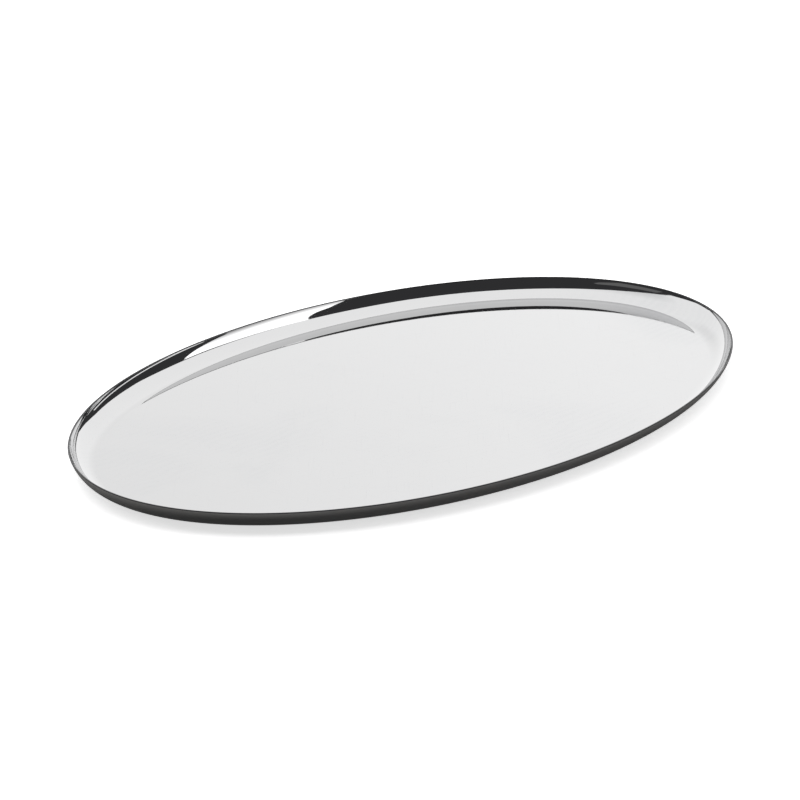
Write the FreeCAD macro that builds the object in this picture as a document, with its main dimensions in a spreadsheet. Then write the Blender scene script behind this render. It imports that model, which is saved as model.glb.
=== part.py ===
import FreeCAD, Part

import os

import Sketcher

# An oval serving tray pressed from one blank of stainless steel sheet.
# The flat serving floor turns up through one round cove, and the cove itself is the wall:
# it is trimmed level before it stands upright, so the wall still leans out at the lip.
# The trimmed lip is plain, with both corners of its cut edge broken and polished.
# Frame: +Z up, +X along the long axis, origin on the ground under the tray's centre.

DRIVING_SIZES = {
    "tray_length": 480.0,  # over the cut edge before its corners are broken, long axis
    "tray_width": 300.0,  # the same, across
    "tray_height": 12.0,  # from the ground to the top of the lip, at most cove_radius
    "cove_radius": 16.0,  # outside radius of the round between the floor and the lip
    "sheet_gauge": 1.0,  # thickness of the steel
    "lip_break": 0.3,  # polished round on each corner of the cut edge
}
HEIGHT_TOLERANCE = 1e-4

doc = FreeCAD.newDocument("serving_tray")

# --- driving dimensions ---------------------------------------------------------------
sheet = doc.addObject("Spreadsheet::Sheet", "sizes")
for row, (name, value) in enumerate(DRIVING_SIZES.items(), start=1):
    sheet.set(f"A{row}", name)
    sheet.set(f"B{row}", str(value))
    sheet.setAlias(f"B{row}", name)

# How much further out than the lip the cove would reach if it went on until upright.
overreach_row = len(DRIVING_SIZES) + 1
sheet.set(f"A{overreach_row}", "overreach")
sheet.set(
    f"B{overreach_row}",
    "=cove_radius * (1 - sqrt(1 - (1 - tray_height / cove_radius) ^ 2))",
)
sheet.setAlias(f"B{overreach_row}", "overreach")
doc.recompute()


def origin_plane(body, role):
    """The body's own origin plane with that role."""
    return next(plane for plane in body.Origin.OriginFeatures if plane.Role == role)


def edges_at_height(feature, height):
    """Names of the feature's edges that lie flat at that height."""
    names = []
    for number, edge in enumerate(feature.Shape.Edges, start=1):
        box = edge.BoundBox
        if abs(box.ZMin - height) < HEIGHT_TOLERANCE and abs(box.ZMax - height) < HEIGHT_TOLERANCE:
            names.append(f"Edge{number}")
    return names


def face_at_height(feature, height):
    """Name of the feature's flat face at that height."""
    for number, face in enumerate(feature.Shape.Faces, start=1):
        box = face.BoundBox
        if abs(box.ZMin - height) < HEIGHT_TOLERANCE and abs(box.ZMax - height) < HEIGHT_TOLERANCE:
            return f"Face{number}"
    raise ValueError(f"no flat face at height {height}")


# --- tray shell -----------------------------------------------------------------------
tray = doc.addObject("PartDesign::Body", "tray_shell")
tray.Label = "tray_shell"

# The outline of the upright punch: one ellipse about the origin, long axis along X.
outline = tray.newObject("Sketcher::SketchObject", "punch_outline")
outline.AttachmentSupport = [(origin_plane(tray, "XY_Plane"), "")]
outline.MapMode = "FlatFace"
half_length = sheet.tray_length / 2 + sheet.overreach
half_width = sheet.tray_width / 2 + sheet.overreach
centre = FreeCAD.Vector(0, 0, 0)
long_end = FreeCAD.Vector(half_length, 0, 0)
short_end = FreeCAD.Vector(0, half_width, 0)
ellipse = outline.addGeometry(Part.Ellipse(long_end, short_end, centre), False)
outline.exposeInternalGeometry(ellipse)
long_axis = ellipse + 1
short_axis = ellipse + 2
ROOT_POINT = -1
X_AXIS = -1
CENTRE_POINT = 3
outline.addConstraint(
    Sketcher.Constraint("Coincident", ellipse, CENTRE_POINT, ROOT_POINT, 1)
)
outline.addConstraint(Sketcher.Constraint("Parallel", long_axis, X_AXIS))
outline.addConstraint(Sketcher.Constraint("Distance", long_axis, 2 * half_length))
outline.renameConstraint(outline.ConstraintCount - 1, "over_length")
outline.addConstraint(Sketcher.Constraint("Distance", short_axis, 2 * half_width))
outline.renameConstraint(outline.ConstraintCount - 1, "over_width")
outline.setExpression("Constraints.over_length", "sizes.tray_length + 2 * sizes.overreach")
outline.setExpression("Constraints.over_width", "sizes.tray_width + 2 * sizes.overreach")

# The envelope of the untrimmed pressing, deep enough to hold the whole cove.
envelope = tray.newObject("PartDesign::Pad", "envelope")
envelope.Profile = outline
envelope.setExpression("Length", "2 * sizes.cove_radius")
doc.recompute()

# The cove: it starts level on the ground and rises round towards upright.
cove = tray.newObject("PartDesign::Fillet", "cove")
cove.Base = (envelope, edges_at_height(envelope, 0))
cove.setExpression("Radius", "sizes.cove_radius")
doc.recompute()

# The sheet: open on top, and everywhere one gauge thick.
pressing = tray.newObject("PartDesign::Thickness", "pressing")
pressing.Base = (cove, [face_at_height(cove, 2 * sheet.cove_radius)])
pressing.setExpression("Value", "sizes.sheet_gauge")
pressing.Reversed = True
pressing.Join = "Intersection"
doc.recompute()

# The trim: everything above the lip is cut away level, part-way up the cove.
trim_outline = tray.newObject("Sketcher::SketchObject", "trim_outline")
trim_outline.AttachmentSupport = [(origin_plane(tray, "XY_Plane"), "")]
trim_outline.MapMode = "FlatFace"
trim_outline.setExpression("AttachmentOffset.Base.z", "sizes.tray_height")
trim_circle = trim_outline.addGeometry(
    Part.Circle(centre, FreeCAD.Vector(0, 0, 1), sheet.tray_length), False
)
trim_outline.addConstraint(
    Sketcher.Constraint("Coincident", trim_circle, CENTRE_POINT, ROOT_POINT, 1)
)
trim_outline.addConstraint(Sketcher.Constraint("Radius", trim_circle, sheet.tray_length))
trim_outline.renameConstraint(trim_outline.ConstraintCount - 1, "clear_of_wall")
trim_outline.setExpression("Constraints.clear_of_wall", "sizes.tray_length")
trim = tray.newObject("PartDesign::Pocket", "trim")
trim.Profile = trim_outline
trim.Type = "ThroughAll"
trim.Reversed = True
doc.recompute()

# The lip: both corners of the cut edge are broken and polished round.
lip = tray.newObject("PartDesign::Fillet", "lip")
lip.Base = (trim, edges_at_height(trim, sheet.tray_height))
lip.setExpression("Radius", "sizes.lip_break")
tray.Tip = lip
doc.recompute()

# --- check the document and write the parts -------------------------------------------
for item in doc.Objects:
    if "Invalid" in item.State or "Error" in item.State:
        raise RuntimeError(f"{item.Label} did not compute: {item.State}")

os.makedirs("parts", exist_ok=True)
for part in [tray]:
    if part.Shape.isNull() or not part.Shape.isValid():
        raise RuntimeError(f"{part.Label} has no valid shape")
    size = part.Shape.optimalBoundingBox(False)
    print(
        f"{part.Label}: {len(part.Shape.Solids)} solid, volume {part.Shape.Volume:.1f} mm3, "
        f"{size.XLength:.2f} x {size.YLength:.2f} x {size.ZLength:.2f} mm"
    )
    part.Shape.exportStep(f"parts/{part.Label}.step")
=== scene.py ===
import math

import bpy
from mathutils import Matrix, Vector


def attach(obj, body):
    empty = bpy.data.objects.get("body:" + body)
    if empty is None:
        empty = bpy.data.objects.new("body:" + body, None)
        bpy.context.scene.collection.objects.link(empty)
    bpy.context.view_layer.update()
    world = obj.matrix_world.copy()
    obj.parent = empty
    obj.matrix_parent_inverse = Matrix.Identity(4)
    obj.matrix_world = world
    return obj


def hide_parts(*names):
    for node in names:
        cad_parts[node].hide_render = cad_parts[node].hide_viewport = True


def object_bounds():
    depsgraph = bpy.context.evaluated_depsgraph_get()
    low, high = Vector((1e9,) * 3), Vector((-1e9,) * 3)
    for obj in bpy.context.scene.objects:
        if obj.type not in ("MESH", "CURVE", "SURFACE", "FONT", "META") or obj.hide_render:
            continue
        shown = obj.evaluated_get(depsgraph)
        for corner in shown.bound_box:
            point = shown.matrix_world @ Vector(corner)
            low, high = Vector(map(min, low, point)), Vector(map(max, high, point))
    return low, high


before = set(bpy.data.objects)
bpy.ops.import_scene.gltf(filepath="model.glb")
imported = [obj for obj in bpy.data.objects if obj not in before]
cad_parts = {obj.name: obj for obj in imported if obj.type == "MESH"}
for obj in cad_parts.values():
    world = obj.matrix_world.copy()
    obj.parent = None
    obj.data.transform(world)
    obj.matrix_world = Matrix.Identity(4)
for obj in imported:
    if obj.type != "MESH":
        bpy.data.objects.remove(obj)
cad_low, cad_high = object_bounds()

# --- Tray shell -----------------------------------------------------------------------
# One oval blank of stainless steel sheet, pressed so that the flat serving floor turns up
# through one round cove, trimmed level while the cove still leans out, then deburred and
# mirror polished. It is modelled as it is made: the round over the punch's oval, the trim,
# and then down the cove on to the floor, inside and outside, one sheet gauge apart.
HALF_LENGTH = 0.23999
HALF_WIDTH = 0.14999
SHEET_GAUGE = 0.001
COVE_RADIUS = 0.016
LIP_BREAK = 0.0003
COVE_STEPS = 28
OUTLINE_POINTS = 384
FLOOR_MARGIN = 0.0004
LIP_SEGMENTS = 4
CORNER_MARGIN = math.radians(10)  # an edge this much gentler than a corner isn't that corner
LEVEL = 0.5  # the least part of a level face's normal that points straight up or down


def edit_faces(piece, wanted):
    """Open a piece for editing with only the faces selected that wanted(polygon) accepts."""
    bpy.ops.object.mode_set(mode="OBJECT")
    for polygon in piece.data.polygons:
        polygon.select = wanted(polygon)
    for edge in piece.data.edges:
        edge.select = False
    for vertex in piece.data.vertices:
        vertex.select = False
    bpy.ops.object.mode_set(mode="EDIT")
    bpy.ops.mesh.select_mode(type="FACE")


def press_cove(radius, lip_slope, towards_floor):
    """Inset the selected face down a round, from the slope at the lip to level."""
    for step in range(COVE_STEPS):
        above = lip_slope * (1 - step / COVE_STEPS)
        below = lip_slope * (1 - (step + 1) / COVE_STEPS)
        bpy.ops.mesh.inset(
            thickness=radius * (math.sin(above) - math.sin(below)),
            depth=towards_floor * radius * (math.cos(below) - math.cos(above)),
        )


lip_height = cad_high.z
inner_radius = COVE_RADIUS - SHEET_GAUGE
outer_slope = math.acos((COVE_RADIUS - lip_height) / COVE_RADIUS)
inner_slope = math.acos((COVE_RADIUS - lip_height) / inner_radius)
overreach = COVE_RADIUS * (1 - math.sin(outer_slope))
cut_edge_width = COVE_RADIUS * math.sin(outer_slope) - inner_radius * math.sin(inner_slope)
bpy.ops.object.select_all(action="DESELECT")
bpy.ops.mesh.primitive_circle_add(
    vertices=OUTLINE_POINTS, radius=1, fill_type="NGON", location=(0, 0, COVE_RADIUS)
)
tray = bpy.context.object
tray.name = "polished_tray"
tray.scale = (HALF_LENGTH + overreach, HALF_WIDTH + overreach, 1)
bpy.ops.object.transform_apply(location=True, rotation=True, scale=True)

# The trim: the round starts upright, and all of it above the lip is cut away.
edit_faces(tray, lambda polygon: True)
bpy.ops.mesh.inset(thickness=overreach, depth=lip_height - COVE_RADIUS)
bpy.ops.mesh.select_all(action="INVERT")
bpy.ops.mesh.delete(type="FACE")

# The inside: across the cut edge, round the cove and on to the floor.
edit_faces(tray, lambda polygon: True)
bpy.ops.mesh.inset(thickness=cut_edge_width, depth=0)
press_cove(inner_radius, inner_slope, -1)
bpy.ops.mesh.inset(thickness=FLOOR_MARGIN, depth=0)

# The outside, from the cut edge round the cove down to the ground.
bpy.ops.mesh.select_mode(type="EDGE")
bpy.ops.mesh.select_all(action="DESELECT")
bpy.ops.mesh.select_non_manifold()
bpy.ops.mesh.edge_face_add()
bpy.ops.mesh.select_all(action="SELECT")
bpy.ops.mesh.normals_make_consistent(inside=False)
edit_faces(tray, lambda polygon: polygon.normal.z < -LEVEL)
press_cove(COVE_RADIUS, outer_slope, 1)
bpy.ops.mesh.inset(thickness=FLOOR_MARGIN, depth=0)

# Both floors as one even grid each.
for side in (1, -1):
    edit_faces(tray, lambda polygon: polygon.normal.z * side > LEVEL and len(polygon.vertices) > 4)
    bpy.ops.mesh.select_mode(type="EDGE")
    bpy.ops.mesh.select_mode(type="FACE")
    bpy.ops.mesh.delete(type="ONLY_FACE")
    bpy.ops.mesh.select_mode(type="EDGE")
    bpy.ops.mesh.select_all(action="DESELECT")
    bpy.ops.mesh.select_non_manifold()
    bpy.ops.mesh.fill_grid(span=OUTLINE_POINTS // 4, offset=OUTLINE_POINTS // 8)

# The cut edge: the outer corner is the sharper one, and each is broken and polished round.
for corner in (math.pi - outer_slope, inner_slope):
    bpy.ops.mesh.select_all(action="DESELECT")
    bpy.ops.mesh.edges_select_sharp(sharpness=corner - CORNER_MARGIN)
    bpy.ops.mesh.bevel(
        offset=LIP_BREAK * math.tan(corner / 2),
        offset_type="OFFSET",
        segments=LIP_SEGMENTS,
        affect="EDGES",
    )
bpy.ops.object.mode_set(mode="OBJECT")
bpy.ops.object.shade_smooth()
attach(tray, "root")
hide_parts("tray_shell")

# --- Steel finish ---------------------------------------------------------------------
# Bright rolled stainless steel, buffed to a mirror. The buffing leaves hair-fine crossing
# marks, the pressed sheet is very slightly wavy, handling and wiping leave faint dull
# smudges, and the cut edge is only deburred, so it stays dull. The cut edge's near-black
# colour is painted shade, standing in for the dark line it shows all round.
BUFFED_COLOUR = (0.60, 0.60, 0.602, 1)
WIPED_COLOUR = (0.572, 0.574, 0.58, 1)
MARKED_COLOUR = (0.58, 0.58, 0.584, 1)
# Painted shade: the cut edge's near-black colour stands in for the dark line it shows all round.
CUT_PAINTED_SHADE_COLOUR = (0.06, 0.06, 0.062, 1)
BUFFED_ROUGHNESS = 0.022
WIPED_ROUGHNESS = 0.075
MARKED_ROUGHNESS = 0.07
CUT_ROUGHNESS = 0.34
MARKS_PER_METRE = 1400
MARK_TURNS = (12, 71, 133)  # degrees from the tray's width
MARK_LENGTH = 50  # times its width
MARK_STARTS = 0.60  # how strong the noise is where a mark starts to show, and where it is full
MARK_FULL = 0.74
MARK_DEPTH = 0.0000015
PATCHES_PER_METRE = 7
PATCH_STARTS = 0.48
PATCH_FULL = 0.74
LEAST_WIPED = 0.55  # how much of a patch is left between its wiped arcs
WAVES_PER_METRE = 16
WAVE_DEPTH = 0.00003
# The same range also sets where the cut edge's painted shade is full and where it ends.
CUT_FULL = 0.0003  # how far below the lip the cut edge's dullness is full, and where it ends
CUT_END = 0.0006


def new_effect(name, amount_name):
    """An empty node group that takes a place and one amount and gives a mask."""
    group = bpy.data.node_groups.new(name, "ShaderNodeTree")
    group.interface.new_socket("Vector", in_out="INPUT", socket_type="NodeSocketVector")
    group.interface.new_socket(amount_name, in_out="INPUT", socket_type="NodeSocketFloat")
    group.interface.new_socket("Mask", in_out="OUTPUT", socket_type="NodeSocketFloat")
    return group, group.nodes.new("NodeGroupInput"), group.nodes.new("NodeGroupOutput")


def add_math(tree, operation, first, second):
    """A Math node, fed by sockets or plain numbers."""
    node = tree.nodes.new("ShaderNodeMath")
    node.operation = operation
    for number, value in enumerate((first, second)):
        if isinstance(value, (int, float)):
            node.inputs[number].default_value = value
        else:
            tree.links.new(value, node.inputs[number])
    return node.outputs["Value"]


def add_range(tree, value, start, end, low=0.0, high=1.0, interpolation="LINEAR"):
    """A Map Range node: low up to where the value is start, and high from where it is end."""
    node = tree.nodes.new("ShaderNodeMapRange")
    node.interpolation_type = interpolation
    node.inputs["From Min"].default_value = start
    node.inputs["From Max"].default_value = end
    node.inputs["To Min"].default_value = low
    node.inputs["To Max"].default_value = high
    tree.links.new(value, node.inputs["Value"])
    return node.outputs["Result"]


def buffing_marks():
    """Hair-fine marks in three crossing directions, long along each and narrow across."""
    group, inlet, outlet = new_effect("buffing_marks", "Marks per metre")
    crossed = 0.0
    for turn in MARK_TURNS:
        lie = group.nodes.new("ShaderNodeMapping")
        lie.vector_type = "TEXTURE"
        lie.inputs["Rotation"].default_value = (0, 0, math.radians(turn))
        lie.inputs["Scale"].default_value = (1, MARK_LENGTH, 1)
        grain = group.nodes.new("ShaderNodeTexNoise")
        grain.inputs["Detail"].default_value = 3
        grain.inputs["Roughness"].default_value = 0.65
        group.links.new(inlet.outputs["Vector"], lie.inputs["Vector"])
        group.links.new(lie.outputs["Vector"], grain.inputs["Vector"])
        group.links.new(inlet.outputs["Marks per metre"], grain.inputs["Scale"])
        marked = add_range(group, grain.outputs["Fac"], MARK_STARTS, MARK_FULL)
        crossed = add_math(group, "MAXIMUM", marked, crossed)
    group.links.new(crossed, outlet.inputs["Mask"])
    return group


def wiping_smudges():
    """Soft dull patches and wiped arcs left by a cloth and by hands."""
    group, inlet, outlet = new_effect("wiping_smudges", "Patches per metre")
    patch = group.nodes.new("ShaderNodeTexNoise")
    patch.inputs["Detail"].default_value = 4
    patch.inputs["Roughness"].default_value = 0.55
    patch.inputs["Distortion"].default_value = 0.8
    group.links.new(inlet.outputs["Vector"], patch.inputs["Vector"])
    group.links.new(inlet.outputs["Patches per metre"], patch.inputs["Scale"])
    soft = add_range(
        group, patch.outputs["Fac"], PATCH_STARTS, PATCH_FULL, interpolation="SMOOTHSTEP"
    )
    wipe = group.nodes.new("ShaderNodeTexWave")
    wipe.wave_type = "RINGS"
    wipe.inputs["Scale"].default_value = 55
    wipe.inputs["Distortion"].default_value = 9
    wipe.inputs["Detail"].default_value = 3
    wipe.inputs["Detail Scale"].default_value = 0.6
    group.links.new(inlet.outputs["Vector"], wipe.inputs["Vector"])
    streaked = add_range(group, wipe.outputs["Fac"], 0, 1, low=LEAST_WIPED)
    group.links.new(add_math(group, "MULTIPLY", soft, streaked), outlet.inputs["Mask"])
    return group


def cut_edge():
    """1 on the cut edge and its broken corners, and 0 a little below them."""
    group, inlet, outlet = new_effect("cut_edge", "Lip height")
    parts = group.nodes.new("ShaderNodeSeparateXYZ")
    group.links.new(inlet.outputs["Vector"], parts.inputs["Vector"])
    below = add_math(group, "SUBTRACT", inlet.outputs["Lip height"], parts.outputs["Z"])
    group.links.new(add_range(group, below, CUT_END, CUT_FULL), outlet.inputs["Mask"])
    return group


steel = bpy.data.materials.new("mirror_polished_steel")
steel.use_nodes = True
nodes = steel.node_tree.nodes
links = steel.node_tree.links
shader = nodes["Principled BSDF"]
shader.inputs["Metallic"].default_value = 1
place = nodes.new("ShaderNodeTexCoord")


def add_effect(group, amount_name, amount):
    """Place a finished effect in the steel, on the tray's own coordinates."""
    node = nodes.new("ShaderNodeGroup")
    node.node_tree = group
    node.inputs[amount_name].default_value = amount
    links.new(place.outputs["Object"], node.inputs["Vector"])
    return node.outputs["Mask"]


def blend(mask, clean, marked, data_type):
    """A Mix node from the clean value to the marked one, by a mask."""
    node = nodes.new("ShaderNodeMix")
    node.data_type = data_type
    links.new(mask, node.inputs["Factor"])
    ends = [socket for socket in node.inputs if socket.name in "AB" and socket.enabled]
    for socket, value in zip(ends, (clean, marked)):
        if isinstance(value, (int, float, tuple)):
            socket.default_value = value
        else:
            links.new(value, socket)
    return next(socket for socket in node.outputs if socket.enabled)


marks = add_effect(buffing_marks(), "Marks per metre", MARKS_PER_METRE)
smudges = add_effect(wiping_smudges(), "Patches per metre", PATCHES_PER_METRE)
edge = add_effect(cut_edge(), "Lip height", lip_height)

colour = blend(smudges, BUFFED_COLOUR, WIPED_COLOUR, "RGBA")
colour = blend(marks, colour, MARKED_COLOUR, "RGBA")
# The cut edge's near-black colour is painted shade; its roughness is its real dullness.
links.new(blend(edge, colour, CUT_PAINTED_SHADE_COLOUR, "RGBA"), shader.inputs["Base Color"])
roughness = blend(smudges, BUFFED_ROUGHNESS, WIPED_ROUGHNESS, "FLOAT")
roughness = blend(marks, roughness, MARKED_ROUGHNESS, "FLOAT")
links.new(blend(edge, roughness, CUT_ROUGHNESS, "FLOAT"), shader.inputs["Roughness"])

waves = nodes.new("ShaderNodeTexNoise")
waves.inputs["Scale"].default_value = WAVES_PER_METRE
waves.inputs["Detail"].default_value = 2
waves.inputs["Roughness"].default_value = 0.4
links.new(place.outputs["Object"], waves.inputs["Vector"])
waviness = nodes.new("ShaderNodeBump")
waviness.inputs["Strength"].default_value = 1
waviness.inputs["Distance"].default_value = WAVE_DEPTH
links.new(waves.outputs["Fac"], waviness.inputs["Height"])
scratching = nodes.new("ShaderNodeBump")
scratching.inputs["Strength"].default_value = 0.25
scratching.inputs["Distance"].default_value = MARK_DEPTH
links.new(marks, scratching.inputs["Height"])
links.new(waviness.outputs["Normal"], scratching.inputs["Normal"])
links.new(scratching.outputs["Normal"], shader.inputs["Normal"])
tray.data.materials.clear()
tray.data.materials.append(steel)

# --- Camera ---------------------------------------------------------------------------
# A long lens, well back from the tray, looks down on it from in front of its long side and
# to the left, with the far end rising to the right.
CAMERA_AZIMUTH = math.radians(47.14)
CAMERA_ELEVATION = math.radians(20.39)
CAMERA_DISTANCE = 2.2315
camera_data = bpy.data.cameras.new("camera")
camera = bpy.data.objects.new("camera", camera_data)
bpy.context.scene.collection.objects.link(camera)
bpy.context.scene.camera = camera
camera_data.lens = 168.8
camera_data.shift_x = -0.01598
camera_data.shift_y = 0.00479
away = Vector((
    -math.sin(CAMERA_AZIMUTH) * math.cos(CAMERA_ELEVATION),
    -math.cos(CAMERA_AZIMUTH) * math.cos(CAMERA_ELEVATION),
    math.sin(CAMERA_ELEVATION),
))
camera.location = away * CAMERA_DISTANCE
camera.rotation_euler = away.to_track_quat("Z", "Y").to_euler()

# --- Studio ---------------------------------------------------------------------------
# A white table under a tent of lit white silk, open and dark on the camera's side, with one
# brighter silk low on the right. Places are given in metres to the right of the camera's
# line, ahead of it and up from the table.
SILK_GLOW = 1.28
KEY_GLOW = 2.0
KEY_LOW_GLOW = 0.5
KEY_LOW = 0.25  # the heights where the key is dimmest, and where it is at its full glow
KEY_HIGH = 0.75
RETURN_GLOW = 0.17
TENT_TOP = 1.5
TENT_BACK = 3.0
TENT_LEFT = -3.9
KEY_RIGHT = 1.7


def studio_point(right, ahead, up):
    """A place in the tray's frame, from one along the camera's line."""
    c = math.cos(CAMERA_AZIMUTH)
    s = math.sin(CAMERA_AZIMUTH)
    return Vector((right * c + ahead * s, ahead * c - right * s, up))


def silk(name, corners, glow):
    """A flat lit silk, seen by the steel and the table but not by the camera."""
    mesh = bpy.data.meshes.new(name)
    mesh.from_pydata([studio_point(*corner) for corner in corners], [], [range(len(corners))])
    panel = bpy.data.objects.new(name, mesh)
    bpy.context.scene.collection.objects.link(panel)
    panel.visible_camera = False
    panel.visible_shadow = False
    cloth = bpy.data.materials.new(name)
    cloth.use_nodes = True
    lit = cloth.node_tree.nodes["Principled BSDF"]
    lit.inputs["Base Color"].default_value = (0, 0, 0, 1)
    lit.inputs["Specular IOR Level"].default_value = 0
    lit.inputs["Emission Color"].default_value = (1, 1, 1, 1)
    lit.inputs["Emission Strength"].default_value = glow
    mesh.materials.append(cloth)
    return panel


overhead = silk("overhead_silk", [(right, ahead, TENT_TOP) for right, ahead in (
    (TENT_LEFT, -0.12), (-2.92, -0.18), (-1.78, -0.37), (-1.19, -0.43), (-0.55, -0.42), (-0.10, -0.36),
    (0.30, -0.27), (0.60, -0.18), (0.88, -0.04), (1.08, 0.14), (1.28, 0.27), (1.60, 0.60),
    (1.90, 0.93), (2.17, 1.30), (2.84, 1.98), (3.30, TENT_BACK), (TENT_LEFT, TENT_BACK),
)], SILK_GLOW)
back = silk("back_silk", [(right, TENT_BACK, up) for right, up in (
    (TENT_LEFT, TENT_TOP), (3.30, TENT_TOP), (3.13, 1.36), (2.42, 0.92), (2.02, 0.44),
    (1.60, 0.12), (TENT_LEFT, 0.12),
)], SILK_GLOW)
left = silk("left_silk", [(TENT_LEFT, ahead, up) for ahead, up in (
    (-0.12, TENT_TOP), (TENT_BACK, TENT_TOP), (TENT_BACK, 0.24), (2.81, 0.26), (1.66, 0.53),
    (0.54, 1.17), (0.20, 1.38),
)], SILK_GLOW)
key = silk("right_key", [(KEY_RIGHT, ahead, up) for ahead, up in (
    (0.86, 1.19), (0.70, 1.30), (0.32, 1.97), (-0.24, 1.12), (-0.43, 0.90), (-0.63, 0.52),
    (-0.70, 0.20), (0.13, 0.20), (0.14, 0.32), (0.28, 0.46), (0.47, 0.68),
)], KEY_GLOW)
silk("far_strip", (
    (2.49, 2.77, 0.29), (2.49, 2.77, 0.42), (3.69, 0.52, 0.46), (3.69, 0.52, 0.29),
), SILK_GLOW)
silk("left_return", (
    (-2.79, -0.49, 0.98), (-2.67, -0.62, 1.58), (-1.56, -1.86, 1.90), (-1.18, -2.28, 2.15),
    (-1.08, -2.40, 1.90), (-1.18, -2.28, 1.50), (-1.56, -1.86, 0.98),
), RETURN_GLOW)

# The tent's top, back and left silks are least lit where they meet, high at the back, and
# along the top's edge on the camera's side. Each dim place has a centre, a reach and a share
# of the light that is left at its middle.
DIM_PLACES = (((-0.6, 3.0, 1.5), 1.0, 0.90), ((-1.6, -0.9, 1.5), 1.6, 0.75))
for panel in (overhead, back, left):
    cloth_tree = panel.data.materials[0].node_tree
    cloth_place = cloth_tree.nodes.new("ShaderNodeTexCoord")
    glow = SILK_GLOW
    for centre, reach, kept in DIM_PLACES:
        away_from = cloth_tree.nodes.new("ShaderNodeVectorMath")
        away_from.operation = "DISTANCE"
        away_from.inputs[1].default_value = studio_point(*centre)
        cloth_tree.links.new(cloth_place.outputs["Object"], away_from.inputs[0])
        share = add_range(cloth_tree, away_from.outputs["Value"], reach / 4, reach, low=kept)
        glow = add_math(cloth_tree, "MULTIPLY", share, glow)
    cloth_tree.links.new(glow, cloth_tree.nodes["Principled BSDF"].inputs["Emission Strength"])

# The key's silk is lit from above, so it grows dimmer towards its lower edge.
key_tree = key.data.materials[0].node_tree
key_place = key_tree.nodes.new("ShaderNodeTexCoord")
key_parts = key_tree.nodes.new("ShaderNodeSeparateXYZ")
key_tree.links.new(key_place.outputs["Object"], key_parts.inputs["Vector"])
key_glow = add_range(
    key_tree, key_parts.outputs["Z"], KEY_LOW, KEY_HIGH, low=KEY_LOW_GLOW, high=KEY_GLOW
)
key_tree.links.new(key_glow, key_tree.nodes["Principled BSDF"].inputs["Emission Strength"])

# A broad lamp above the tent whitens the table and doesn't show in the steel.
lamp_data = bpy.data.lights.new("table_lamp", "AREA")
lamp_data.shape = "RECTANGLE"
lamp_data.size = 2.2
lamp_data.size_y = 4.4
lamp_data.energy = 56
lamp = bpy.data.objects.new("table_lamp", lamp_data)
bpy.context.scene.collection.objects.link(lamp)
lamp.location = studio_point(-0.9, 1.8, 1.9)
lamp.rotation_euler = lamp.location.to_track_quat("Z", "Y").to_euler()
lamp.visible_camera = False
lamp.visible_glossy = False

world = bpy.data.worlds.new("studio")
bpy.context.scene.world = world
world.use_nodes = True
nodes = world.node_tree.nodes
links = world.node_tree.links
dim = nodes["Background"]
dim.inputs["Color"].default_value = (0.044, 0.044, 0.046, 1)
white = nodes.new("ShaderNodeBackground")
white.inputs["Color"].default_value = (1, 1, 1, 1)
seen = nodes.new("ShaderNodeLightPath")
choice = nodes.new("ShaderNodeMixShader")
links.new(seen.outputs["Is Camera Ray"], choice.inputs["Fac"])
links.new(dim.outputs["Background"], choice.inputs[1])
links.new(white.outputs["Background"], choice.inputs[2])
links.new(choice.outputs["Shader"], nodes["World Output"].inputs["Surface"])

# The table is milky and lit a little from below, so the tray's shadow stays pale, and further
# out it fades into the white. From underneath it isn't there, so the tray's underside shows.
TABLE_GAP = 0.0001
NEAR_TABLE = (0.8, 0.66)  # the distance from the tray, and the light from below up to there
FAR_TABLE = (2.5, 1.1)
bpy.ops.object.select_all(action="DESELECT")
bpy.ops.mesh.primitive_plane_add(size=30, location=(0, 0, -TABLE_GAP))
table = bpy.context.object
table.name = "table"
table.visible_glossy = False
paint = bpy.data.materials.new("white_table")
paint.use_nodes = True
nodes = paint.node_tree.nodes
links = paint.node_tree.links
milky = nodes["Principled BSDF"]
milky.inputs["Base Color"].default_value = (0.9, 0.9, 0.9, 1)
milky.inputs["Roughness"].default_value = 0.9
milky.inputs["Emission Color"].default_value = (1, 1, 1, 1)
table_surface = nodes.new("ShaderNodeNewGeometry")
from_tray = nodes.new("ShaderNodeVectorMath")
from_tray.operation = "LENGTH"
links.new(table_surface.outputs["Position"], from_tray.inputs[0])
from_below = add_range(
    paint.node_tree, from_tray.outputs["Value"], NEAR_TABLE[0], FAR_TABLE[0], NEAR_TABLE[1], FAR_TABLE[1]
)
links.new(from_below, milky.inputs["Emission Strength"])
no_table = nodes.new("ShaderNodeBsdfTransparent")
side_seen = nodes.new("ShaderNodeMixShader")
links.new(table_surface.outputs["Backfacing"], side_seen.inputs["Fac"])
links.new(milky.outputs["BSDF"], side_seen.inputs[1])
links.new(no_table.outputs["BSDF"], side_seen.inputs[2])
links.new(side_seen.outputs["Shader"], nodes["Material Output"].inputs["Surface"])
table.data.materials.append(paint)

# The steel shows a dark mat instead of the table, with the tray's own shadow on it.
bpy.ops.object.select_all(action="DESELECT")
bpy.ops.mesh.primitive_plane_add(size=12, location=(0, 0, TABLE_GAP))
mat = bpy.context.object
mat.name = "dark_mat"
mat.visible_camera = False
mat.visible_diffuse = False
mat.visible_shadow = False
felt = bpy.data.materials.new("dark_felt")
felt.use_nodes = True
nap = felt.node_tree.nodes["Principled BSDF"]
nap.inputs["Base Color"].default_value = (0.245, 0.24, 0.232, 1)
nap.inputs["Roughness"].default_value = 1
nap.inputs["Specular IOR Level"].default_value = 0
nap.inputs["Emission Color"].default_value = (1, 1, 1, 1)
# A faint glow, painted light that keeps the mat's shadowed part from showing black in the steel.
nap.inputs["Emission Strength"].default_value = 0.034
mat.data.materials.append(felt)
bpy.context.scene.view_settings.view_transform = "Standard"
